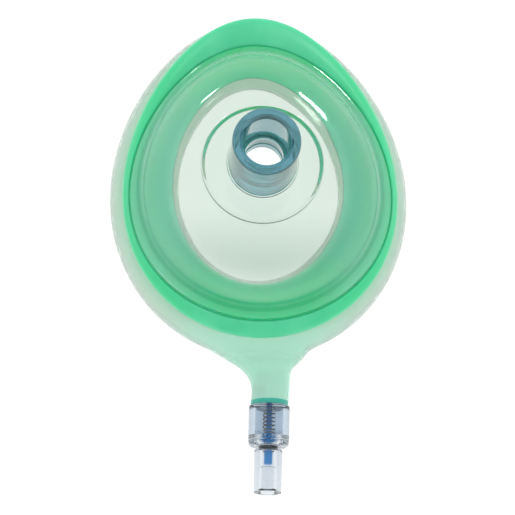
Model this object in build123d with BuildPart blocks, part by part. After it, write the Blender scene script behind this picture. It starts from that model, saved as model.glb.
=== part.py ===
"""Air-cushion face mask of a bag valve mask: a clear dome with a 22/15 mm port, bonded to an
inflatable cushion whose chin end runs out into a tail that holds a sprung inflation valve.

Frame: millimetres, +Z up along the port, +Y towards the nose, -Y along the tail. The mask rests
on the face side of its cushion at Z = 0, and the origin is under the middle of its whole length.
"""

from build123d import *
from math import cos, pi, radians, sin
import os

os.makedirs("parts", exist_ok=True)

# ---- driving dimensions -------------------------------------------------------------------

TOTAL_LENGTH = 157.4  # nose to the mouth of the inflation valve
NOSE_Y = TOTAL_LENGTH / 2
VALVE_MOUTH_Y = -TOTAL_LENGTH / 2

# Egg outlines: (half width, half length, Y of the middle, how much narrower the nose is).
CUSHION_OUTER = (48.8, 56.7, NOSE_Y - 56.7, 0.043)
RIM_OUTER = (44.9, 53.7, 23.2, 0.073)
FLANGE_OUTER = (42.5, 45.8, 20.7, 0.062)
DOME_FOOT = (40.1, 43.8, 21.6, 0.052)
EGG_SQUARE = 0.01
EGG_POINTS = 28
NOSE_LEAN = 1.5  # how far the soft nose end leans to -X

# Heights above the face side.
SKIRT_FOOT = 8.0
CUSHION_TOP = 19.0
RIM_TOP = 24.0
FLANGE_TOP = 25.5
DOME_TOP = 34.3
COLLAR_TOP = 36.2
DOME_WALL = 1.8
SKIRT_WALL = 1.2

# Port: 22 mm outer and 15 mm inner, on the mask's axis.
PORT_Y = 24.1
PORT_TOP = 64.5
PORT_RADIUS = 11.0
PORT_BORE = 7.5
PORT_THROAT = 6.35
PORT_THROAT_TOP = 45.0
PORT_THROAT_SLOPE = 0.8
PORT_SPIGOT = 9.45
PORT_SPIGOT_FOOT = 31.8
PORT_RING_RADIUS = 11.6
PORT_RING_HEIGHT = 0.8
PORT_EDGE = 0.4
PORT_MOUTH_CHAMFER = 1.3
COLLAR_RADIUS = 19.9
COLLAR_HOLLOW = 0.8
COLLAR_HOLLOW_RADIUS = 19.1
BOND_GAP = 0.05

# Inflation valve. Its own Z runs outwards along the tail, from 0 at the tail's cut end.
TAIL_X = 3.5
TAIL_Z = 8.0
TAIL_LEAN = 1.3
VALVE_LENGTH = 28.5
SPIGOT_LENGTH = 11.7
SPIGOT_RADIUS = 4.85
SPIGOT_BORE = 3.6
BARREL_RADIUS = 6.65
BARREL_BORE = 4.6
BARREL_LENGTH = 10.2
SPRING_SEAT = 1.0
CUP_END = 13.4
CUP_ROUND = 1.3
CUP_REGISTER = 1.5
NECK_RADIUS = 4.0
NECK_END = 14.2
TUBE_SHOULDER = 0.6
TUBE_RADIUS = 4.6
TUBE_MOUTH_RADIUS = 4.5
SEAL_POCKET_RADIUS = 3.35
SEAL_SEAT = 15.0
SEAT_HOLE = 1.95
LUER_BORE = 2.15
LUER_BORE_FOOT = 20.4
LUER_MOUTH_RADIUS = 3.5
LUER_MOUTH_DEPTH = 3.6

STEM_RADIUS = 0.95
STEM_INNER_END = -3.0
GUIDE_CLEARANCE = 0.08
FLARE_FOOT = 10.4
FLARE_RADIUS = 2.9
FLARE_EDGE = 0.8
FLARE_END = 13.2
PUSH_PIN_RADIUS = 1.35
PUSH_PIN_END = 19.2
SEAL_RADIUS = 3.2
SEAL_ROUND = 0.35

SPRING_RADIUS = 1.9
SPRING_WIRE = 0.2
SPRING_TURNS = 7
AIR_HOLE_RADIUS = 0.55
AIR_HOLE_CIRCLE = 2.55
AIR_HOLES = 4

# ---- planes and outlines ------------------------------------------------------------------

lean = radians(TAIL_LEAN)
valve_out = Vector(-sin(lean), -cos(lean), 0)
valve_side = Vector(cos(lean), -sin(lean), 0)
shoulder = Vector(TAIL_X, VALVE_MOUTH_Y + VALVE_LENGTH * cos(lean), TAIL_Z)
valve_axis = Axis(shoulder, valve_out)
valve_section = Plane(origin=shoulder, x_dir=valve_side, z_dir=valve_side.cross(valve_out))
port_axis = Axis((0, PORT_Y, 0), (0, 0, 1))
port_section = Plane(origin=(0, PORT_Y, 0), x_dir=(1, 0, 0), z_dir=(0, -1, 0))


def across_tail(distance):
    """Plane across the tail, a distance outwards from its cut end."""
    return Plane(origin=shoulder + valve_out * distance, x_dir=valve_side, z_dir=valve_out)


def egg(outline, height, inset=0.0):
    """Egg-shaped face at a height, blunt at the chin, narrower and leaning a little at the nose."""
    half_width, half_length, middle, taper = outline
    peak = 1 + EGG_SQUARE + 2 * taper**2
    points = []
    for step in range(EGG_POINTS):
        turn = 2 * pi * step / EGG_POINTS
        across = sin(turn) - taper * sin(2 * turn) - EGG_SQUARE * sin(3 * turn)
        noseward = (1 + cos(turn)) / 2
        points.append(
            (
                (half_width - inset) * across / peak - NOSE_LEAN * noseward**3,
                middle + (half_length - inset) * cos(turn),
            )
        )
    with BuildSketch(Plane.XY.offset(height)) as section:
        with BuildLine():
            Spline(*points, periodic=True)
        make_face()
    return section.sketch


def tail_section(distance, shift, half_width, half_height):
    """Oval face across the tail, shifted sideways from its axis."""
    with BuildSketch(across_tail(distance)) as section:
        with Locations((shift, 0)):
            Ellipse(half_width, half_height)
    return section.sketch


# ---- cushion bladder: thin inflated skin, a closed ring with its tail ---------------------

# (height, inset from the widest outline) up the outer side.
CUSHION_SIDE = ((0.0, 7.5), (3.0, 2.4), (9.5, 0.0), (15.0, 1.5), (CUSHION_TOP, 4.4))
# (height, outline) up the face opening: the bladder's own lip, then the rim's skirt.
LIP_THROAT = (
    (0.0, (32.1, 38.7, 24.9, 0.045)),
    (3.5, (26.8, 32.8, 25.2, 0.045)),
    (SKIRT_FOOT, (28.8, 35.5, 25.9, 0.045)),
)
SKIRT_THROAT = (
    (SKIRT_FOOT, (28.8, 35.5, 25.9, 0.045)),
    (13.5, (30.2, 36.4, 25.2, 0.045)),
    (CUSHION_TOP, (33.8, 38.3, 23.0, 0.045)),
    (RIM_TOP, (37.2, 40.2, 21.4, 0.047)),
)
# (distance along the tail, shift, half width, half height) of the tail's ovals.
TAIL_OVALS = (
    (-22.0, -5.0, 21.0, 7.0),
    (-18.7, -3.8, 16.2, 7.0),
    (-16.0, -2.9, 12.2, 6.8),
    (-13.3, -2.0, 8.6, 6.6),
    (-10.6, -0.9, 7.0, 6.4),
    (-5.2, 0.0, 6.15, 6.15),
    (0.0, 0.0, 6.15, 6.15),
)
TAIL_BORE_DEPTH = SPIGOT_LENGTH + 3.0

with BuildPart() as cushion_bladder:
    loft(sections=[egg(CUSHION_OUTER, height, inset) for height, inset in CUSHION_SIDE])
    loft(sections=[tail_section(*oval) for oval in TAIL_OVALS])
    loft(sections=[egg(outline, height) for height, outline in LIP_THROAT], mode=Mode.SUBTRACT)
    loft(
        sections=[egg(outline, height, -SKIRT_WALL - BOND_GAP) for height, outline in SKIRT_THROAT],
        mode=Mode.SUBTRACT,
    )
    with BuildSketch(across_tail(0)):
        Circle(SPIGOT_RADIUS + BOND_GAP)
    extrude(amount=-TAIL_BORE_DEPTH, mode=Mode.SUBTRACT)

# ---- cushion rim: thick green bead under the dome, with a skirt that lines the opening ----

# (height, inset from the rim's outer outline).
RIM_SIDE = ((CUSHION_TOP, 1.0), (20.0, 0.2), (21.4, 0.0), (23.0, 0.5), (RIM_TOP, 2.0))

with BuildPart() as cushion_rim:
    loft(sections=[egg(RIM_OUTER, height, inset) for height, inset in RIM_SIDE])
    loft(sections=[egg(outline, height, -SKIRT_WALL) for height, outline in SKIRT_THROAT])
    loft(sections=[egg(outline, height) for height, outline in SKIRT_THROAT], mode=Mode.SUBTRACT)

# ---- dome: clear moulded shell with a bonding flange and a round port collar --------------

# (height, inset from the dome's foot) up the outer side.
DOME_SIDE = ((RIM_TOP, 0.0), (27.2, 1.2), (30.4, 3.6), (32.8, 7.2), (DOME_TOP, 12.6))

with BuildPart() as dome:
    loft(sections=[egg(DOME_FOOT, height, inset) for height, inset in DOME_SIDE])
    with BuildSketch(Plane.XY.offset(DOME_TOP)):
        with Locations((0, PORT_Y)):
            Circle(COLLAR_RADIUS)
    extrude(amount=COLLAR_TOP - DOME_TOP)
    extrude(egg(FLANGE_OUTER, RIM_TOP), amount=FLANGE_TOP - RIM_TOP)
    loft(
        sections=[
            egg(DOME_FOOT, max(height - DOME_WALL, RIM_TOP), inset + DOME_WALL)
            for height, inset in DOME_SIDE
        ],
        mode=Mode.SUBTRACT,
    )
    with BuildSketch(Plane.XY.offset(DOME_TOP - DOME_WALL)):
        with Locations((0, PORT_Y)):
            Circle(COLLAR_HOLLOW_RADIUS)
    extrude(amount=COLLAR_HOLLOW, mode=Mode.SUBTRACT)
    with BuildSketch(Plane.XY.offset(COLLAR_TOP)):
        with Locations((0, PORT_Y)):
            Circle(PORT_SPIGOT + BOND_GAP)
    extrude(amount=RIM_TOP - COLLAR_TOP, mode=Mode.SUBTRACT)

# ---- port connector: tube that fits a 22 mm socket or takes a 15 mm cone ------------------

with BuildPart() as port_connector:
    with BuildSketch(port_section):
        with BuildLine():
            Polyline(
                (PORT_THROAT, PORT_SPIGOT_FOOT),
                (PORT_SPIGOT, PORT_SPIGOT_FOOT),
                (PORT_SPIGOT, COLLAR_TOP),
                (PORT_RING_RADIUS, COLLAR_TOP),
                (PORT_RING_RADIUS, COLLAR_TOP + PORT_RING_HEIGHT),
                (PORT_RADIUS, COLLAR_TOP + PORT_RING_HEIGHT),
                (PORT_RADIUS, PORT_TOP - PORT_EDGE),
                (PORT_RADIUS - PORT_EDGE, PORT_TOP),
                (PORT_BORE + PORT_MOUTH_CHAMFER, PORT_TOP),
                (PORT_BORE, PORT_TOP - PORT_MOUTH_CHAMFER),
                (PORT_BORE, PORT_THROAT_TOP),
                (PORT_THROAT, PORT_THROAT_TOP - PORT_THROAT_SLOPE),
                close=True,
            )
        make_face()
    revolve(axis=port_axis)

# ---- valve body: clear barrel with the spigot that the tail grips -------------------------

with BuildPart() as valve_body:
    with BuildSketch(valve_section):
        with BuildLine():
            Polyline(
                (STEM_RADIUS + GUIDE_CLEARANCE, 0),
                (SPIGOT_BORE, 0),
                (SPIGOT_BORE, -SPIGOT_LENGTH),
                (SPIGOT_RADIUS, -SPIGOT_LENGTH),
                (SPIGOT_RADIUS, 0),
                (BARREL_RADIUS, 0),
                (BARREL_RADIUS, BARREL_LENGTH),
                (BARREL_BORE, BARREL_LENGTH),
                (BARREL_BORE, SPRING_SEAT),
                (STEM_RADIUS + GUIDE_CLEARANCE, SPRING_SEAT),
                close=True,
            )
        make_face()
    revolve(axis=valve_axis)
    with BuildSketch(across_tail(0)):
        with PolarLocations(AIR_HOLE_CIRCLE, AIR_HOLES):
            Circle(AIR_HOLE_RADIUS)
    extrude(amount=SPRING_SEAT, mode=Mode.SUBTRACT)

# ---- luer cap: cup glued into the barrel, with the tube that a syringe pushes into --------

with BuildPart() as luer_cap:
    with BuildSketch(valve_section):
        with BuildLine():
            Polyline(
                (SEAL_POCKET_RADIUS, BARREL_LENGTH - CUP_REGISTER),
                (BARREL_BORE - BOND_GAP, BARREL_LENGTH - CUP_REGISTER),
                (BARREL_BORE - BOND_GAP, BARREL_LENGTH),
                (BARREL_RADIUS, BARREL_LENGTH),
                (BARREL_RADIUS, CUP_END - CUP_ROUND),
            )
            RadiusArc(
                (BARREL_RADIUS, CUP_END - CUP_ROUND), (BARREL_RADIUS - CUP_ROUND, CUP_END), CUP_ROUND
            )
            Polyline(
                (BARREL_RADIUS - CUP_ROUND, CUP_END),
                (NECK_RADIUS, CUP_END),
                (NECK_RADIUS, NECK_END),
                (TUBE_RADIUS, NECK_END + TUBE_SHOULDER),
                (TUBE_MOUTH_RADIUS, VALVE_LENGTH),
                (LUER_MOUTH_RADIUS, VALVE_LENGTH),
                (LUER_BORE, VALVE_LENGTH - LUER_MOUTH_DEPTH),
                (LUER_BORE, LUER_BORE_FOOT),
                (SEAT_HOLE, LUER_BORE_FOOT),
                (SEAT_HOLE, SEAL_SEAT),
                (SEAL_POCKET_RADIUS, SEAL_SEAT),
                (SEAL_POCKET_RADIUS, BARREL_LENGTH - CUP_REGISTER),
            )
        make_face()
    revolve(axis=valve_axis)

# ---- plunger: guided stem, flared spring flange and push pin ------------------------------

with BuildPart() as plunger:
    with BuildSketch(valve_section):
        with BuildLine():
            Polyline(
                (0, STEM_INNER_END),
                (STEM_RADIUS, STEM_INNER_END),
                (STEM_RADIUS, FLARE_FOOT),
                (SPRING_RADIUS + SPRING_WIRE, FLARE_FOOT),
                (FLARE_RADIUS, FLARE_END - FLARE_EDGE),
                (FLARE_RADIUS, FLARE_END),
                (PUSH_PIN_RADIUS, FLARE_END),
                (PUSH_PIN_RADIUS, PUSH_PIN_END),
                (0, PUSH_PIN_END),
                close=True,
            )
        make_face()
    revolve(axis=valve_axis)

# ---- seal: soft washer on the push pin, closed against the luer cap's inner face ----------

with BuildPart() as seal:
    with BuildSketch(across_tail(FLARE_END)):
        Circle(SEAL_RADIUS)
        Circle(PUSH_PIN_RADIUS, mode=Mode.SUBTRACT)
    extrude(amount=SEAL_SEAT - FLARE_END)
    fillet(seal.edges().filter_by(GeomType.CIRCLE).sort_by(SortBy.RADIUS)[-2:], SEAL_ROUND)

# ---- valve spring: holds the plunger outwards against its seat ----------------------------

spring_rise = FLARE_FOOT - SPRING_SEAT - 2 * SPRING_WIRE

with BuildPart() as valve_spring:
    with BuildLine() as coil:
        Helix(
            pitch=spring_rise / SPRING_TURNS,
            height=spring_rise,
            radius=SPRING_RADIUS,
            center=across_tail(SPRING_SEAT + SPRING_WIRE).origin,
            direction=valve_out,
        )
    with BuildSketch(Plane(origin=coil.line @ 0, z_dir=coil.line % 0)):
        Circle(SPRING_WIRE)
    sweep(is_frenet=True)

# ---- export -------------------------------------------------------------------------------

PIECES = {
    "cushion_bladder": cushion_bladder,
    "cushion_rim": cushion_rim,
    "dome": dome,
    "port_connector": port_connector,
    "valve_body": valve_body,
    "luer_cap": luer_cap,
    "plunger": plunger,
    "seal": seal,
    "valve_spring": valve_spring,
}

for name, piece in PIECES.items():
    piece.part.label = name
    export_step(piece.part, f"parts/{name}.step")
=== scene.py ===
from math import atan2, cos, degrees, pi, radians, sin

import bmesh
import bpy
from mathutils import Matrix, Vector


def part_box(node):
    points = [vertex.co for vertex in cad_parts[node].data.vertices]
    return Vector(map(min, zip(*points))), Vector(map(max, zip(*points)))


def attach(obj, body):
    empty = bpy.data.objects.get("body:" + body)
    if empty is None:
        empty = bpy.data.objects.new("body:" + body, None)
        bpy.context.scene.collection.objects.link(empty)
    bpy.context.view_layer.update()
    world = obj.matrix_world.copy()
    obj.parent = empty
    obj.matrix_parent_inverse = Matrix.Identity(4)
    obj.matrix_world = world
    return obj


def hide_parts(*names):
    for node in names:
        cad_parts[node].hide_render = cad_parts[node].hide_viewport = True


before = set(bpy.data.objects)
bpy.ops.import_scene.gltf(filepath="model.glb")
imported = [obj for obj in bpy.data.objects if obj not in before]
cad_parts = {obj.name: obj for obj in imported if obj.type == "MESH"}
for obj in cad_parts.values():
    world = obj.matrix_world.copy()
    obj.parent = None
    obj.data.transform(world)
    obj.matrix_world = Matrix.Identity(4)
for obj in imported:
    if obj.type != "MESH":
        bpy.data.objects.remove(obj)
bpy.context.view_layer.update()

# ---- cushion rim -------------------------------------------------------------------------
# The soft green PVC moulding that everything else is fixed to. A thick bead carries the dome,
# and a thin skirt runs down from it and lines the face opening. It is injection moulded, then
# welded to the bladder's skin under the bead and at the skirt's foot.

MM = 0.001
AROUND = 96  # points round each ring
EGG_SQUARE = 0.01  # draws the outlines in a little at their four corners
NOSE_LEAN = 1.5  # the nose end leans this far to -X
PORT_Y = 24.1

# Egg outlines: half width, half length, Y of the middle, how much narrower the nose is.
RIM_OUTER = (44.9, 53.7, 23.2, 0.073)
FLANGE_OUTER = (42.5, 45.8, 20.7, 0.062)
THROAT_TOP = (37.2, 40.2, 21.4, 0.047)
THROAT_BEND = (33.8, 38.3, 23.0, 0.045)
THROAT_MIDDLE = (30.2, 36.4, 25.2, 0.045)
THROAT_FOOT = (28.8, 35.5, 25.9, 0.045)
SKIRT_WALL = 1.2
UNDER_DOME = 12  # bands of the rim's section from this one on are covered by the dome


def linear(hex_colour):
    """Linear RGBA of an sRGB hex colour."""
    parts = [int(hex_colour[i : i + 2], 16) / 255 for i in (1, 3, 5)]
    return [p / 12.92 if p <= 0.04045 else ((p + 0.055) / 1.055) ** 2.4 for p in parts] + [1.0]


def add_node(material, kind, inputs, **settings):
    """Adds a node, sets its own settings, and sets or links its inputs."""
    node = material.node_tree.nodes.new("ShaderNode" + kind)
    for name, value in settings.items():
        setattr(node, name, value)
    for name, value in inputs.items():
        if isinstance(value, bpy.types.NodeSocket):
            material.node_tree.links.new(value, node.inputs[name])
        else:
            node.inputs[name].default_value = value
    return node


def new_material(name):
    """An empty node material."""
    material = bpy.data.materials.new(name)
    material.use_nodes = True
    material.node_tree.nodes.clear()
    return material


def between(start, end, share):
    """Outline part of the way from one outline to another."""
    return tuple(a + (b - a) * share for a, b in zip(start, end))


def ring_point(turn, shape, height, inset):
    """Point on an egg outline, or on a circle round the port where the shape is a radius."""
    if isinstance(shape, float):
        radius = shape - inset
        return Vector((radius * sin(turn), PORT_Y + radius * cos(turn), height))
    half_width, half_length, middle, taper = shape
    peak = 1 + EGG_SQUARE + 2 * taper**2
    across = sin(turn) - taper * sin(2 * turn) - EGG_SQUARE * sin(3 * turn)
    noseward = (1 + cos(turn)) / 2
    return Vector(
        (
            (half_width - inset) * across / peak - NOSE_LEAN * noseward**3,
            middle + (half_length - inset) * cos(turn),
            height,
        )
    )


def sweep_rings(bm, stations, closed):
    """Rings of points joined in order, one for each (shape, height, inset), in millimetres."""
    turn = bm.verts.layers.float.new("turn")
    bmesh.ops.create_circle(bm, segments=AROUND, radius=1.0)
    bm.verts.ensure_lookup_table()
    for step, vert in enumerate(bm.verts):
        vert[turn] = 2 * pi * step / AROUND
    rings = [list(bm.edges)]
    for station in stations[1:]:
        grown = bmesh.ops.extrude_edge_only(bm, edges=rings[-1])["geom"]
        fresh = {g for g in grown if isinstance(g, bmesh.types.BMVert)}
        rings.append(
            [g for g in grown if isinstance(g, bmesh.types.BMEdge) and set(g.verts) <= fresh]
        )
    for ring, station in zip(rings, stations):
        for vert in {v for edge in ring for v in edge.verts}:
            vert.co = ring_point(vert[turn], *station)
    if closed:
        bmesh.ops.bridge_loops(bm, edges=rings[0] + rings[-1])
    return turn


def finish_piece(bm, name, body, slot, nodes, *materials, place=Matrix()):
    """Turns a bmesh in millimetres into a smooth piece in the row frame, on its body."""
    bm.transform(Matrix.Scale(MM, 4) @ place)
    bmesh.ops.recalc_face_normals(bm, faces=bm.faces)
    mesh = bpy.data.meshes.new(name)
    bm.to_mesh(mesh)
    bm.free()
    mesh.shade_smooth()
    piece = bpy.data.objects.new(name, mesh)
    bpy.context.scene.collection.objects.link(piece)
    for material in materials:
        mesh.materials.append(material)
    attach(piece, body)
    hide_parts(*nodes)
    return piece


def subdivide(piece, levels):
    """Rounds a piece with a subdivision surface."""
    surface = piece.modifiers.new("round", "SUBSURF")
    surface.levels = levels
    surface.render_levels = levels


def moulded_green(name, deep, pale, sides, glow):
    """Plasticised PVC, injection moulded: satin green that glows where light gets into it, with
    faint paler flow streaks from the filling of the mould, about 12 mm across. Towards the left
    and right its colour is painted to a set tone, painted light and shade for how the light
    falls on the sides."""
    soft_pvc = new_material(name)
    where = add_node(soft_pvc, "TexCoord", {})
    flow = add_node(
        soft_pvc, "Mapping", {"Vector": where.outputs["Object"], "Scale": (1.0, 0.55, 2.0)}
    )
    streaks = add_node(
        soft_pvc,
        "TexNoise",
        {"Vector": flow.outputs["Vector"], "Scale": 1 / 0.012, "Detail": 3.0, "Roughness": 0.5},
    )
    tone = add_node(
        soft_pvc,
        "Mix",
        {"Factor": streaks.outputs["Fac"], "A": linear(deep), "B": linear(pale)},
        data_type="RGBA",
    )
    place = add_node(soft_pvc, "SeparateXYZ", {"Vector": where.outputs["Object"]})
    aside = add_node(soft_pvc, "Math", {0: place.outputs["X"]}, operation="ABSOLUTE")
    # Painted light and shade: towards the left and right the colour is blended to a set tone for
    # how the light falls on the sides.
    painted_side_light = add_node(
        soft_pvc,
        "MapRange",
        {"Value": aside.outputs["Value"], "From Min": 0.014, "From Max": 0.032},
        interpolation_type="SMOOTHSTEP",
    )
    shade = add_node(
        soft_pvc,
        "Mix",
        {"Factor": painted_side_light.outputs["Result"], "A": tone.outputs["Result"], "B": linear(sides)},
        data_type="RGBA",
    )
    satin = add_node(
        soft_pvc,
        "MapRange",
        {"Value": streaks.outputs["Fac"], "To Min": 0.30, "To Max": 0.42},
    )
    grain = add_node(
        soft_pvc,
        "TexNoise",
        {"Vector": where.outputs["Object"], "Scale": 1 / 0.0016, "Detail": 2.0},
    )
    skin_bump = add_node(
        soft_pvc, "Bump", {"Height": grain.outputs["Fac"], "Strength": 0.06, "Distance": 0.0002}
    )
    soft_pvc_shader = add_node(
        soft_pvc,
        "BsdfPrincipled",
        {
            "Base Color": shade.outputs["Result"],
            "Roughness": satin.outputs["Result"],
            "Normal": skin_bump.outputs["Normal"],
            "IOR": 1.53,
            "Subsurface Weight": glow,
            "Subsurface Radius": (0.5, 1.0, 0.8),
            "Subsurface Scale": 0.004,
        },
    )
    add_node(soft_pvc, "OutputMaterial", {"Surface": soft_pvc_shader.outputs["BSDF"]})
    return soft_pvc


# The bead is thick, so its green is deep. The skirt under the dome is the same PVC, 1.2 mm thin,
# and its colour is painted brighter, a painted glow for the light that comes through it from
# behind.
bead_pvc = moulded_green("soft_pvc_moulded_green", "#2BC28B", "#5EDAA8", "#3CCF92", 0.8)
skirt_pvc_painted_glow = moulded_green("soft_pvc_skirt_painted_glow", "#00F0A6", "#28FFC2", "#84FFD2", 1.0)

rim_bm = bmesh.new()
sweep_rings(
    rim_bm,
    (
        (THROAT_BEND, 18.9, -2.2),
        (RIM_OUTER, 19.0, 3.4),
        (RIM_OUTER, 19.1, 1.5),
        (RIM_OUTER, 19.7, 0.5),
        (RIM_OUTER, 20.7, 0.05),
        (RIM_OUTER, 21.8, 0.0),
        (RIM_OUTER, 22.9, 0.35),
        (RIM_OUTER, 23.8, 1.2),
        (between(RIM_OUTER, FLANGE_OUTER, 0.4), 24.6, 0.6),
        (between(RIM_OUTER, FLANGE_OUTER, 0.7), 24.7, 0.4),
        (FLANGE_OUTER, 24.6, -0.75),
        (FLANGE_OUTER, 24.3, -0.35),
        (FLANGE_OUTER, 23.8, -0.12),
        (FLANGE_OUTER, 23.9, 0.5),
        (FLANGE_OUTER, 23.95, 1.5),
        (THROAT_TOP, 23.95, -0.6),
        (THROAT_TOP, 23.6, 0.0),
        (between(THROAT_TOP, THROAT_BEND, 0.5), 21.5, 0.0),
        (THROAT_BEND, 19.0, 0.0),
        (between(THROAT_BEND, THROAT_MIDDLE, 0.5), 16.2, 0.15),
        (THROAT_MIDDLE, 13.5, 0.0),
        (between(THROAT_MIDDLE, THROAT_FOOT, 0.6), 10.4, 0.0),
        (THROAT_FOOT, 8.3, 0.0),
        (THROAT_FOOT, 8.05, -0.25),
        (THROAT_FOOT, 8.05, -SKIRT_WALL + 0.25),
        (THROAT_FOOT, 8.3, -SKIRT_WALL),
        (between(THROAT_MIDDLE, THROAT_FOOT, 0.6), 10.4, -SKIRT_WALL),
        (THROAT_MIDDLE, 13.5, -SKIRT_WALL),
        (between(THROAT_BEND, THROAT_MIDDLE, 0.5), 16.2, -SKIRT_WALL),
        (THROAT_BEND, 18.4, -1.5),
    ),
    closed=True,
)
rim_bm.faces.index_update()
for face in rim_bm.faces:
    face.material_index = int(face.index // AROUND >= UNDER_DOME)
cushion_rim = finish_piece(
    rim_bm, "rim_bead", "mask", "green_rim", ["cushion_rim"], bead_pvc, skirt_pvc_painted_glow
)
subdivide(cushion_rim, 2)

# ---- cushion bladder ---------------------------------------------------------------------
# The air cushion: one skin of pale green PVC film, 0.7 mm thick, blown into a ring that is
# widest just above the face. At the chin it narrows into a tail, thicker there, that is
# pushed over the inflation valve's spigot and cut off square.

CUSHION_OUTER = (48.8, 56.7, 22.0, 0.043)
LIP_FOOT = (32.1, 38.7, 24.9, 0.045)
LIP_WAIST = (26.8, 32.8, 25.2, 0.045)
FILM = 0.7
TAIL_WALL = 1.2
TAIL_LEAN = radians(1.3)
VALVE_LENGTH = 28.5
TAIL_COLUMNS = 5  # half the width of the hole in the chin, in columns of the ring
TAIL_HOLE = (2.4, 16.7)  # heights of the hole's lower and upper edge
SKIN_REACH = 45.0  # the hole is in the outer skin only, further than this from the middle
SLEEVE_START = -12.0  # from this distance on the tail has its thicker wall
# Ovals across the tail: distance from its cut end, shift sideways and up, half width and height.
TAIL_OVALS = (
    (-15.2, -2.4, 0.6, 12.5, 6.7),
    (-12.8, -1.7, 0.3, 8.5, 6.5),
    (-10.2, -0.5, 0.1, 7.05, 6.3),
    (-8.0, 0.1, 0.0, 6.4, 6.2),
    (-4.7, 0.3, 0.0, 6.1, 6.15),
    (-1.1, 0.0, 0.0, 6.15, 6.15),
    (-0.9, 0.0, 0.0, 6.18, 6.18),
    (-0.3, 0.0, 0.0, 6.15, 6.15),
    (0.05, 0.0, 0.0, 6.12, 6.12),
)
TAIL_EDGE = -1.0  # beyond this the cut edge's colour shows through

# Blown PVC film: clear enough to see the floor through, hazy, and tinted a little more each
# time that light crosses it. Near the rim it is painted deeper green, a painted shadow that the
# green bead casts on it. It is greener towards the chin, deeper green and less clear where it
# runs into the tail, and palest on the open side walls.
film = new_material("pvc_film_pale_green")
where = add_node(film, "TexCoord", {})
place = add_node(film, "SeparateXYZ", {"Vector": where.outputs["Object"]})
# Painted shadow: the film turns deeper green towards the rim, for the green shadow of the bead.
painted_bead_shadow = add_node(
    film,
    "MapRange",
    {"Value": place.outputs["Z"], "From Min": 0.010, "From Max": 0.0195, "To Max": 0.75},
    interpolation_type="SMOOTHSTEP",
)
to_chin = add_node(
    film,
    "MapRange",
    {"Value": place.outputs["Y"], "From Min": -0.020, "From Max": -0.030},
    interpolation_type="SMOOTHSTEP",
)
to_tail = add_node(
    film,
    "MapRange",
    {"Value": place.outputs["Y"], "From Min": -0.031, "From Max": -0.039},
    interpolation_type="SMOOTHSTEP",
)
clarity = add_node(
    film, "MapRange", {"Value": to_tail.outputs["Result"], "To Min": 0.86, "To Max": 0.44}
)
cloud = add_node(
    film, "TexNoise", {"Vector": where.outputs["Object"], "Scale": 1 / 0.02, "Detail": 2.0}
)
bead_shadow_tone = add_node(
    film,
    "Mix",
    {"Factor": painted_bead_shadow.outputs["Result"], "A": linear("#ECF9F0"), "B": linear("#C4EBD6")},
    data_type="RGBA",
)
chin_tone = add_node(
    film,
    "Mix",
    {
        "Factor": to_chin.outputs["Result"],
        "A": bead_shadow_tone.outputs["Result"],
        "B": linear("#DCFCEF"),
    },
    data_type="RGBA",
)
film_tone = add_node(
    film,
    "Mix",
    {
        "Factor": to_tail.outputs["Result"],
        "A": chin_tone.outputs["Result"],
        "B": linear("#CAFFEA"),
    },
    data_type="RGBA",
)
haze = add_node(
    film, "MapRange", {"Value": cloud.outputs["Fac"], "To Min": 0.16, "To Max": 0.30}
)
ripple = add_node(
    film, "Bump", {"Height": cloud.outputs["Fac"], "Strength": 0.12, "Distance": 0.0012}
)
film_shader = add_node(
    film,
    "BsdfPrincipled",
    {
        "Base Color": film_tone.outputs["Result"],
        "Roughness": haze.outputs["Result"],
        "Normal": ripple.outputs["Normal"],
        "IOR": 1.5,
        "Transmission Weight": clarity.outputs["Result"],
    },
)
add_node(film, "OutputMaterial", {"Surface": film_shader.outputs["BSDF"]})

# The film's cut edges: looking along the skin, the tint stacks up to a deep teal green.
cut_edge = new_material("pvc_film_cut_edge")
where = add_node(cut_edge, "TexCoord", {})
knife = add_node(
    cut_edge, "TexNoise", {"Vector": where.outputs["Object"], "Scale": 1 / 0.001, "Detail": 2.0}
)
edge_tone = add_node(
    cut_edge,
    "Mix",
    {"Factor": knife.outputs["Fac"], "A": linear("#1F9E8C"), "B": linear("#3DB7A0")},
    data_type="RGBA",
)
cut_edge_shader = add_node(
    cut_edge,
    "BsdfPrincipled",
    {"Base Color": edge_tone.outputs["Result"], "Roughness": 0.35, "IOR": 1.5},
)
add_node(cut_edge, "OutputMaterial", {"Surface": cut_edge_shader.outputs["BSDF"]})

valve_mouth_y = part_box("luer_cap")[0].y / MM
tail_end = Vector((3.5, valve_mouth_y + VALVE_LENGTH * cos(TAIL_LEAN), 8.0))
# Valve frame: X sideways, Y up, Z outwards along the tail, from 0 at the tail's cut end.
valve_place = Matrix(
    (
        (cos(TAIL_LEAN), 0, -sin(TAIL_LEAN), tail_end.x),
        (-sin(TAIL_LEAN), 0, -cos(TAIL_LEAN), tail_end.y),
        (0, 1, 0, tail_end.z),
        (0, 0, 0, 1),
    )
)

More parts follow.
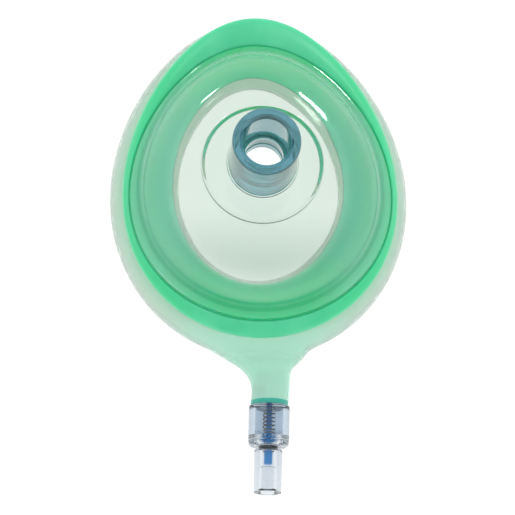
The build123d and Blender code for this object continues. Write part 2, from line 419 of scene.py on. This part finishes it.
bladder_bm = bmesh.new()
turn = sweep_rings(
    bladder_bm,
    (
        (CUSHION_OUTER, 18.85, 7.6),
        (CUSHION_OUTER, 18.8, 5.6),
        (CUSHION_OUTER, 18.3, 3.9),
        (CUSHION_OUTER, 16.6, 2.1),
        (CUSHION_OUTER, 14.0, 0.9),
        (CUSHION_OUTER, 11.6, 0.2),
        (CUSHION_OUTER, 9.2, 0.0),
        (CUSHION_OUTER, 6.8, 0.35),
        (CUSHION_OUTER, 4.5, 1.3),
        (CUSHION_OUTER, 2.5, 3.0),
        (CUSHION_OUTER, 0.9, 5.3),
        (CUSHION_OUTER, 0.05, 8.3),
        (between(CUSHION_OUTER, LIP_FOOT, 0.75), 0.0, 0.0),
        (LIP_FOOT, 0.05, 0.3),
        (between(LIP_FOOT, LIP_WAIST, 0.6), 0.9, 0.0),
        (LIP_WAIST, 2.3, -0.4),
        (LIP_WAIST, 3.9, 0.0),
        (between(LIP_WAIST, THROAT_FOOT, 0.5), 5.8, 0.0),
        (THROAT_FOOT, 7.5, 0.05),
        (THROAT_FOOT, 7.95, 0.0),
    ),
    closed=False,
)
chin_reach = 2 * pi * (TAIL_COLUMNS + 0.2) / AROUND
in_hole = [
    face
    for face in bladder_bm.faces
    if all(
        abs(v[turn] - pi) < chin_reach
        and TAIL_HOLE[0] < v.co.z < TAIL_HOLE[1]
        and Vector((v.co.x, v.co.y - PORT_Y)).length > SKIN_REACH
        for v in face.verts
    )
]
hole_edges = {
    edge for face in in_hole for edge in face.edges if len(set(edge.link_faces) & set(in_hole)) == 1
}
bmesh.ops.delete(bladder_bm, geom=in_hole, context="FACES")
tail_edges = list(hole_edges)
to_valve = valve_place.inverted()
local = {v: to_valve @ v.co for e in tail_edges for v in e.verts}
order = sorted(local, key=lambda v: atan2(local[v].y, local[v].x))
for step, vert in enumerate(order):
    vert[turn] = -pi + 2 * pi * (step + 0.5) / len(order)
sleeve = []
for distance, shift, lift, half_width, half_height in TAIL_OVALS:
    grown = bmesh.ops.extrude_edge_only(bladder_bm, edges=tail_edges)["geom"]
    for side in (g for g in grown if isinstance(g, bmesh.types.BMFace)):
        side.material_index = int(distance > TAIL_EDGE)
    fresh = {g for g in grown if isinstance(g, bmesh.types.BMVert)}
    tail_edges = [g for g in grown if isinstance(g, bmesh.types.BMEdge) and set(g.verts) <= fresh]
    for vert in fresh:
        angle = vert[turn]
        vert.co = valve_place @ Vector(
            (shift + half_width * cos(angle), lift + half_height * sin(angle), distance)
        )
    if distance > SLEEVE_START:
        sleeve.extend(fresh)
bladder_bm.verts.index_update()
sleeve_index = [v.index for v in sleeve]
bladder = finish_piece(
    bladder_bm, "air_cushion", "mask", "bladder_skin", ["cushion_bladder"], film, cut_edge
)
thick = bladder.vertex_groups.new(name="sleeve")
thick.add(sleeve_index, 1.0, "REPLACE")
skin = bladder.modifiers.new("skin", "SOLIDIFY")
skin.thickness = TAIL_WALL * MM
skin.offset = -1
skin.vertex_group = thick.name
skin.thickness_vertex_group = FILM / TAIL_WALL
skin.use_even_offset = True
skin.material_offset_rim = 1
subdivide(bladder, 2)

# ---- dome --------------------------------------------------------------------------------
# The clear hard shell over the nose and mouth, moulded in one piece with the flange that is
# bonded to the rim and the raised round collar that takes the port. Its wall is 1.8 mm.

DOME_FOOT = (40.1, 43.8, 21.6, 0.052)
DOME_CROWN = (39.4, 42.4, 21.3, 0.047)
COLLAR = 19.9
SPIGOT_SEAT = 9.5
HOLLOW_TOP = 18.55  # the underside is hollowed below the collar, with a sloping wall
HOLLOW_FOOT = 19.7
LIP = 11.6  # a low clear lip stands round the port's foot
LIP_BORE = 11.1

# Clear rigid PVC, injection moulded: glassy, with a faint grey-green tint and slow swells in
# its surface, some 15 mm apart, that wobble what is seen through it. The sloping wall is painted
# clearer than the flat crown, painted light that lifts the shade on the wall, and the crown is
# painted darker towards the chin, a painted shadow of the port and collar.
clear_pvc = new_material("clear_pvc_moulded")
where = add_node(clear_pvc, "TexCoord", {})
place = add_node(clear_pvc, "SeparateXYZ", {"Vector": where.outputs["Object"]})
# Painted light: the sloping wall below the crown is painted clearer than the crown, to lift its
# shade.
to_crown = add_node(
    clear_pvc,
    "MapRange",
    {"Value": place.outputs["Z"], "From Min": 0.029, "From Max": 0.034},
    interpolation_type="SMOOTHSTEP",
)
swell = add_node(
    clear_pvc, "TexNoise", {"Vector": where.outputs["Object"], "Scale": 1 / 0.015, "Detail": 1.0}
)
swell_bump = add_node(
    clear_pvc, "Bump", {"Height": swell.outputs["Fac"], "Strength": 0.08, "Distance": 0.001}
)
polish = add_node(
    clear_pvc, "MapRange", {"Value": swell.outputs["Fac"], "To Min": 0.03, "To Max": 0.09}
)
crown_tone = add_node(
    clear_pvc,
    "Mix",
    {"Factor": swell.outputs["Fac"], "A": linear("#DAE6DD"), "B": linear("#E0EBE3")},
    data_type="RGBA",
)
# Painted shadow: the crown darkens towards the chin, for the shadow that the port and collar cast
# on it.
to_chin = add_node(
    clear_pvc,
    "MapRange",
    {"Value": place.outputs["Y"], "From Min": 0.012, "From Max": -0.012},
    interpolation_type="SMOOTHSTEP",
)
painted_port_shadow = add_node(
    clear_pvc,
    "Mix",
    {
        "Factor": to_chin.outputs["Result"],
        "A": crown_tone.outputs["Result"],
        "B": linear("#B6C8BC"),
    },
    data_type="RGBA",
)
# Painted light: the wall's clearer tone against the crown's painted tint and shadow.
clear_tone = add_node(
    clear_pvc,
    "Mix",
    {
        "Factor": to_crown.outputs["Result"],
        "A": linear("#FAFFFB"),
        "B": painted_port_shadow.outputs["Result"],
    },
    data_type="RGBA",
)
clear_pvc_shader = add_node(
    clear_pvc,
    "BsdfPrincipled",
    {
        "Base Color": clear_tone.outputs["Result"],
        "Roughness": polish.outputs["Result"],
        "Normal": swell_bump.outputs["Normal"],
        "IOR": 1.53,
        "Transmission Weight": 1.0,
    },
)
add_node(clear_pvc, "OutputMaterial", {"Surface": clear_pvc_shader.outputs["BSDF"]})

dome_bm = bmesh.new()
sweep_rings(
    dome_bm,
    (
        (FLANGE_OUTER, 24.02, 0.3),
        (FLANGE_OUTER, 24.25, 0.0),
        (FLANGE_OUTER, 25.2, 0.0),
        (FLANGE_OUTER, 25.48, 0.35),
        (DOME_FOOT, 25.5, -0.9),
        (DOME_FOOT, 25.6, -0.25),
        (DOME_FOOT, 25.9, 0.3),
        (between(DOME_FOOT, DOME_CROWN, 0.3), 27.2, 1.2),
        (between(DOME_FOOT, DOME_CROWN, 0.6), 29.0, 2.4),
        (between(DOME_FOOT, DOME_CROWN, 0.9), 30.7, 3.9),
        (DOME_CROWN, 32.2, 6.1),
        (DOME_CROWN, 33.4, 9.0),
        (DOME_CROWN, 34.1, 12.4),
        (23.0, 34.35, 0.0),
        (20.2, 34.4, 0.0),
        (COLLAR, 34.55, 0.0),
        (COLLAR, 35.2, 0.0),
        (COLLAR, 36.05, 0.0),
        (COLLAR, 36.18, 0.15),
        (19.2, 36.2, 0.0),
        (15.0, 36.2, 0.0),
        (LIP + 0.3, 36.2, 0.0),
        (LIP, 36.35, 0.0),
        (LIP, 36.8, 0.0),
        (LIP - 0.15, 37.0, 0.0),
        (LIP_BORE + 0.1, 37.0, 0.0),
        (LIP_BORE, 36.9, 0.0),
        (LIP_BORE, 36.3, 0.0),
        (LIP_BORE - 0.1, 36.2, 0.0),
        (SPIGOT_SEAT + 0.3, 36.2, 0.0),
        (SPIGOT_SEAT, 36.0, 0.0),
        (SPIGOT_SEAT, 33.5, 0.0),
        (SPIGOT_SEAT + 0.3, 33.3, 0.0),
        (15.0, 33.3, 0.0),
        (HOLLOW_TOP - 0.15, 33.3, 0.0),
        (HOLLOW_TOP, 33.26, 0.0),
        (HOLLOW_FOOT, 32.54, 0.0),
        (HOLLOW_FOOT + 0.15, 32.5, 0.0),
        (21.5, 32.5, 0.0),
        (DOME_CROWN, 32.2, 13.6),
        (DOME_CROWN, 31.5, 10.5),
        (DOME_CROWN, 30.4, 7.7),
        (between(DOME_FOOT, DOME_CROWN, 0.7), 29.0, 5.6),
        (between(DOME_FOOT, DOME_CROWN, 0.4), 27.4, 4.2),
        (DOME_FOOT, 25.9, 3.1),
        (DOME_FOOT, 24.4, 2.2),
        (DOME_FOOT, 24.02, 1.7),
    ),
    closed=True,
)
dome = finish_piece(dome_bm, "dome_shell", "mask", "clear_dome", ["dome"], clear_pvc)
subdivide(dome, 2)

# ---- port connector ----------------------------------------------------------------------
# The rigid tube that the resuscitator plugs on to: 22 mm outside, 15 mm inside. It is moulded
# on its own, and its spigot is pressed and bonded into the dome's collar.

SPIN_STEPS = 96
SHARP = 24  # degrees: edges that turn by more than this are eased

# Clear copolyester with a blue tint in the body of it: pale through one wall, slate blue
# looking down the length of the wall from the mouth.
tinted = new_material("clear_copolyester_blue")
where = add_node(tinted, "TexCoord", {})
turned = add_node(
    tinted, "Mapping", {"Vector": where.outputs["Object"], "Scale": (1.0, 1.0, 6.0)}
)
draw = add_node(
    tinted, "TexNoise", {"Vector": turned.outputs["Vector"], "Scale": 1 / 0.012, "Detail": 2.0}
)
draw_bump = add_node(
    tinted, "Bump", {"Height": draw.outputs["Fac"], "Strength": 0.08, "Distance": 0.0006}
)
polish = add_node(
    tinted, "MapRange", {"Value": draw.outputs["Fac"], "To Min": 0.03, "To Max": 0.10}
)
tinted_shader = add_node(
    tinted,
    "BsdfPrincipled",
    {
        "Base Color": linear("#6CA6B3"),
        "Roughness": polish.outputs["Result"],
        "Normal": draw_bump.outputs["Normal"],
        "IOR": 1.57,
        "Transmission Weight": 1.0,
    },
)
tint = add_node(
    tinted, "VolumeAbsorption", {"Color": linear("#80BFD0"), "Density": 14.0}
)
add_node(
    tinted,
    "OutputMaterial",
    {"Surface": tinted_shader.outputs["BSDF"], "Volume": tint.outputs["Volume"]},
)


def turned_part(profile, rounding, closed=True):
    """Spins a profile of (radius, distance) points, in millimetres, about Z and eases its edges."""
    bm = bmesh.new()
    points = [bm.verts.new((radius, 0.0, along)) for radius, along in profile]
    for start, end in zip(points, points[1:]):
        bm.edges.new((start, end))
    if closed:
        bm.edges.new((points[-1], points[0]))
    bmesh.ops.spin(
        bm,
        geom=list(bm.verts) + list(bm.edges),
        axis=(0, 0, 1),
        cent=(0, 0, 0),
        angle=2 * pi,
        steps=SPIN_STEPS,
        use_merge=True,
    )
    bmesh.ops.remove_doubles(bm, verts=bm.verts, dist=0.0005)
    bmesh.ops.recalc_face_normals(bm, faces=bm.faces)
    sharp = [e for e in bm.edges if e.is_manifold and degrees(e.calc_face_angle()) > SHARP]
    bmesh.ops.bevel(
        bm,
        geom=sharp,
        offset=rounding,
        affect="EDGES",
        segments=3,
        profile=0.5,
        material=-1,
        clamp_overlap=True,
    )
    return bm


def flatten_faces(piece):
    """Keeps broad faces flat and lets only the eased edges turn the light."""
    weighted = piece.modifiers.new("flat_faces", "WEIGHTED_NORMAL")
    weighted.mode = "FACE_AREA"
    weighted.weight = 80


port_bm = turned_part(
    (
        (6.35, 31.8),
        (9.4, 31.8),
        (9.4, 36.25),
        (11.0, 36.25),
        (11.0, 64.1),
        (10.6, 64.5),
        (8.8, 64.5),
        (7.6, 63.2),
        (7.5, 46.4),
        (7.15, 46.1),
        (7.15, 45.0),
        (6.35, 44.2),
        (6.35, 40.6),
        (6.6, 40.3),
        (6.6, 36.4),
        (6.35, 36.1),
    ),
    rounding=0.2,
)
port = finish_piece(
    port_bm,
    "port_tube",
    "mask",
    "port_tube",
    ["port_connector"],
    tinted,
    place=Matrix.Translation((0, PORT_Y, 0)),
)
flatten_faces(port)

# ---- inflation valve: body and luer cap --------------------------------------------------
# Two clear mouldings. The body is a barrel with a wall across it for the spring, and a spigot
# that the tail grips. The cap is glued into its end: a ribbed cup with the seal's seat in
# it, a narrow neck, and the tube that a syringe pushes into.


def clear_acrylic(name, deep, pale):
    """Acrylic, moulded: hard and bright, with a faint blue cast and fine flow lines."""
    acrylic = new_material(name)
    where = add_node(acrylic, "TexCoord", {})
    weld = add_node(
        acrylic, "TexNoise", {"Vector": where.outputs["Object"], "Scale": 1 / 0.004, "Detail": 2.0}
    )
    weld_bump = add_node(
        acrylic, "Bump", {"Height": weld.outputs["Fac"], "Strength": 0.06, "Distance": 0.0004}
    )
    polish = add_node(
        acrylic, "MapRange", {"Value": weld.outputs["Fac"], "To Min": 0.03, "To Max": 0.10}
    )
    acrylic_tone = add_node(
        acrylic,
        "Mix",
        {"Factor": weld.outputs["Fac"], "A": linear(deep), "B": linear(pale)},
        data_type="RGBA",
    )
    acrylic_shader = add_node(
        acrylic,
        "BsdfPrincipled",
        {
            "Base Color": acrylic_tone.outputs["Result"],
            "Roughness": polish.outputs["Result"],
            "Normal": weld_bump.outputs["Normal"],
            "IOR": 1.49,
            "Transmission Weight": 1.0,
        },
    )
    cast = add_node(acrylic, "VolumeAbsorption", {"Color": linear("#AEC3D0"), "Density": 60.0})
    add_node(
        acrylic,
        "OutputMaterial",
        {"Surface": acrylic_shader.outputs["BSDF"], "Volume": cast.outputs["Volume"]},
    )
    return acrylic


# The barrel is the bluer of the two mouldings, and the cap is nearly colourless.
barrel_acrylic = clear_acrylic("clear_acrylic_blue_cast", "#C8D3DE", "#D3DDE7")
cap_acrylic = clear_acrylic("clear_acrylic_moulded", "#E9ECF1", "#EFF2F5")

body_bm = turned_part(
    (
        (1.03, 0.0),
        (3.6, 0.0),
        (3.6, -11.7),
        (4.85, -11.7),
        (4.85, 0.02),
        (6.65, 0.02),
        (6.65, 10.15),
        (4.6, 10.15),
        (4.6, 1.0),
        (1.03, 1.0),
    ),
    rounding=0.15,
)
valve_body = finish_piece(
    body_bm,
    "valve_barrel",
    "mask",
    "clear_valve",
    ["valve_body"],
    barrel_acrylic,
    place=valve_place,
)
flatten_faces(valve_body)

cap_bm = turned_part(
    (
        (3.35, 8.7),
        (4.55, 8.7),
        (4.55, 10.2),
        (6.65, 10.2),
        (6.65, 10.8),
        (6.35, 10.95),
        (6.35, 11.2),
        (6.65, 11.35),
        (6.65, 11.75),
        (6.35, 11.9),
        (6.35, 12.15),
        (6.6, 12.3),
        (6.3, 12.9),
        (5.6, 13.4),
        (4.0, 13.4),
        (4.0, 14.2),
        (4.6, 14.8),
        (4.5, 28.5),
        (3.6, 28.5),
        (2.35, 27.9),
        (2.15, 27.5),
        (2.15, 20.4),
        (1.95, 20.4),
        (1.95, 15.0),
        (3.35, 15.0),
    ),
    rounding=0.1,
)
luer_cap = finish_piece(
    cap_bm, "luer_tube", "mask", "clear_valve", ["luer_cap"], cap_acrylic, place=valve_place
)
flatten_faces(luer_cap)

# ---- inflation valve: plunger, seal and spring -------------------------------------------
# The moving parts. A blue plunger slides in the barrel on its stem, with a black washer on its
# flare. The coil spring holds the washer shut until a syringe's tip pushes the pin inwards.

# Acetal, moulded blue: smooth and waxy, with a soft sheen.
acetal = new_material("acetal_moulded_blue")
where = add_node(acetal, "TexCoord", {})
mottle = add_node(
    acetal, "TexNoise", {"Vector": where.outputs["Object"], "Scale": 1 / 0.0015, "Detail": 2.0}
)
acetal_tone = add_node(
    acetal,
    "Mix",
    {"Factor": mottle.outputs["Fac"], "A": linear("#00A4FF"), "B": linear("#10B2FF")},
    data_type="RGBA",
)
waxy = add_node(
    acetal, "MapRange", {"Value": mottle.outputs["Fac"], "To Min": 0.28, "To Max": 0.40}
)
acetal_shader = add_node(
    acetal,
    "BsdfPrincipled",
    {
        "Base Color": acetal_tone.outputs["Result"],
        "Roughness": waxy.outputs["Result"],
        "IOR": 1.48,
        "Subsurface Weight": 0.15,
        "Subsurface Radius": (0.3, 0.5, 1.0),
        "Subsurface Scale": 0.0008,
    },
)
add_node(acetal, "OutputMaterial", {"Surface": acetal_shader.outputs["BSDF"]})

plunger_bm = turned_part(
    (
        (0.0, -3.0),
        (0.95, -3.0),
        (0.95, 10.4),
        (2.1, 10.4),
        (2.9, 12.4),
        (2.9, 13.18),
        (1.33, 13.18),
        (1.33, 19.2),
        (0.0, 19.2),
    ),
    rounding=0.12,
    closed=False,
)
plunger = finish_piece(
    plunger_bm, "plunger_pin", "plunger", "blue_plunger", ["plunger"], acetal, place=valve_place
)
flatten_faces(plunger)

# Nitrile rubber, black: matt, with a fine dusty bloom.
rubber = new_material("nitrile_rubber_black")
where = add_node(rubber, "TexCoord", {})
bloom = add_node(
    rubber, "TexNoise", {"Vector": where.outputs["Object"], "Scale": 1 / 0.0006, "Detail": 3.0}
)
rubber_tone = add_node(
    rubber,
    "Mix",
    {"Factor": bloom.outputs["Fac"], "A": linear("#0B0C0E"), "B": linear("#1D1F22")},
    data_type="RGBA",
)
rubber_shader = add_node(
    rubber,
    "BsdfPrincipled",
    {"Base Color": rubber_tone.outputs["Result"], "Roughness": 0.5, "IOR": 1.52},
)
add_node(rubber, "OutputMaterial", {"Surface": rubber_shader.outputs["BSDF"]})

seal_bm = turned_part(((1.38, 13.22), (3.2, 13.22), (3.2, 14.98), (1.38, 14.98)), rounding=0.35)
seal = finish_piece(
    seal_bm, "seal_washer", "plunger", "black_seal", ["seal"], rubber, place=valve_place
)
flatten_faces(seal)

# Stainless spring wire, drawn: its colour is painted a dull grey with dark and light speckles, a
# painted reflection of dark and bright surroundings in the bright wire; the same speckles vary its
# roughness like fine marks from the die.
wire = new_material("stainless_spring_wire")
where = add_node(wire, "TexCoord", {})
die_marks_and_painted_glints = add_node(
    wire, "TexNoise", {"Vector": where.outputs["Object"], "Scale": 1 / 0.0003, "Detail": 2.0}
)
bright = add_node(
    wire, "MapRange", {"Value": die_marks_and_painted_glints.outputs["Fac"], "To Min": 0.16, "To Max": 0.34}
)
# Painted reflection: dark and light speckles in the wire's colour stand in for what the bright wire
# mirrors.
painted_reflection_tone = add_node(
    wire,
    "Mix",
    {"Factor": die_marks_and_painted_glints.outputs["Fac"], "A": linear("#4E4D4B"), "B": linear("#94928E")},
    data_type="RGBA",
)
wire_shader = add_node(
    wire,
    "BsdfPrincipled",
    {
        "Base Color": painted_reflection_tone.outputs["Result"],
        "Roughness": bright.outputs["Result"],
        "Metallic": 1.0,
    },
)
add_node(wire, "OutputMaterial", {"Surface": wire_shader.outputs["BSDF"]})

COIL_RADIUS = 1.9
WIRE_RADIUS = 0.2
COIL_TURNS = 7
COIL_RISE = 9.0
COIL_STEPS = 28
spring_bm = bmesh.new()
bmesh.ops.create_circle(
    spring_bm,
    segments=12,
    radius=WIRE_RADIUS,
    matrix=Matrix.Translation((COIL_RADIUS, 0, 1.2)) @ Matrix.Rotation(pi / 2, 4, "X"),
)
bmesh.ops.spin(
    spring_bm,
    geom=list(spring_bm.verts) + list(spring_bm.edges),
    axis=(0, 0, 1),
    cent=(0, 0, 0),
    dvec=(0, 0, COIL_RISE / (COIL_TURNS * COIL_STEPS)),
    angle=2 * pi * COIL_TURNS,
    steps=COIL_TURNS * COIL_STEPS,
)
bmesh.ops.holes_fill(spring_bm, edges=[e for e in spring_bm.edges if e.is_boundary], sides=12)
finish_piece(
    spring_bm, "coil_spring", "mask", "spring_wire", ["valve_spring"], wire, place=valve_place
)

# ---- studio ------------------------------------------------------------------------------
# A plain white table with soft light all round, and two narrow soft boxes beyond the nose. The
# camera is far off, nearly overhead and a little towards the chin.

FLOOR_SIZE = 6000
FLOOR_DROP = 0.05
CAMERA_AWAY = 1.6

studio_bm = bmesh.new()
bmesh.ops.create_grid(studio_bm, x_segments=1, y_segments=1, size=FLOOR_SIZE)
studio_bm.transform(Matrix.Scale(MM, 4) @ Matrix.Translation((0, 0, -FLOOR_DROP)))
studio_mesh = bpy.data.meshes.new("floor")
studio_bm.to_mesh(studio_mesh)
studio_bm.free()
floor = bpy.data.objects.new("floor", studio_mesh)
bpy.context.scene.collection.objects.link(floor)
paper = new_material("white_paper")
where = add_node(paper, "TexCoord", {})
fibres = add_node(
    paper, "TexNoise", {"Vector": where.outputs["Object"], "Scale": 1 / 0.002, "Detail": 2.0}
)
paper_tone = add_node(
    paper,
    "Mix",
    {"Factor": fibres.outputs["Fac"], "A": linear("#8B8B8B"), "B": linear("#909090")},
    data_type="RGBA",
)
paper_shader = add_node(
    paper,
    "BsdfPrincipled",
    {
        "Base Color": paper_tone.outputs["Result"],
        "Roughness": 0.8,
        "Emission Color": linear("#FFFFFF"),
        "Emission Strength": 0.88,
    },
)
add_node(paper, "OutputMaterial", {"Surface": paper_shader.outputs["BSDF"]})
studio_mesh.materials.append(paper)

scene = bpy.context.scene
scene.view_settings.view_transform = "Standard"
scene.cycles.max_bounces = 20
scene.cycles.transmission_bounces = 20

sky = bpy.data.worlds.new("soft_white")
scene.world = sky
sky.use_nodes = True
sky.node_tree.nodes.clear()
facing = add_node(sky, "TexCoord", {})
height = add_node(sky, "SeparateXYZ", {"Vector": facing.outputs["Generated"]})
rise = add_node(
    sky,
    "MapRange",
    {"Value": height.outputs["Z"], "From Max": 0.75, "To Min": 1.03, "To Max": 0.9},
)
glow = add_node(
    sky, "Background", {"Color": linear("#FFFFFF"), "Strength": rise.outputs["Result"]}
)
add_node(sky, "OutputWorld", {"Surface": glow.outputs["Background"]})

# Name, place, point it faces, width and length in metres, and power in watts.
SOFT_BOXES = (
    ("box_left", (-0.31, 0.69, 0.82), (0.0, 0.03, 0.03), 0.035, 0.12, 0.6),
    ("box_right", (0.37, 0.63, 0.85), (0.0, 0.03, 0.03), 0.075, 0.16, 1.4),
)
for name, at, aim, width, length, power in SOFT_BOXES:
    lamp = bpy.data.lights.new(name, "AREA")
    lamp.shape = "RECTANGLE"
    lamp.size = length
    lamp.size_y = width
    lamp.energy = power
    holder = bpy.data.objects.new(name, lamp)
    holder.location = at
    toward = Vector(aim) - Vector(at)
    holder.rotation_mode = "QUATERNION"
    holder.rotation_quaternion = toward.to_track_quat("-Z", "Y")
    scene.collection.objects.link(holder)

lens = bpy.data.cameras.new("camera")
lens.lens = 340.0
lens.sensor_width = 36.0
lens.clip_end = 10.0
camera = bpy.data.objects.new("camera", lens)
scene.collection.objects.link(camera)
scene.camera = camera
target = Vector((0.0, 1.3, 0.0)) * MM
away = Vector((-0.045, -0.230, 0.973)).normalized()
across = Vector((0, 1, 0)).cross(away).normalized()
upward = away.cross(across)
camera.matrix_world = Matrix.Translation(target + away * CAMERA_AWAY) @ Matrix(
    (across, upward, away)
).transposed().to_4x4()
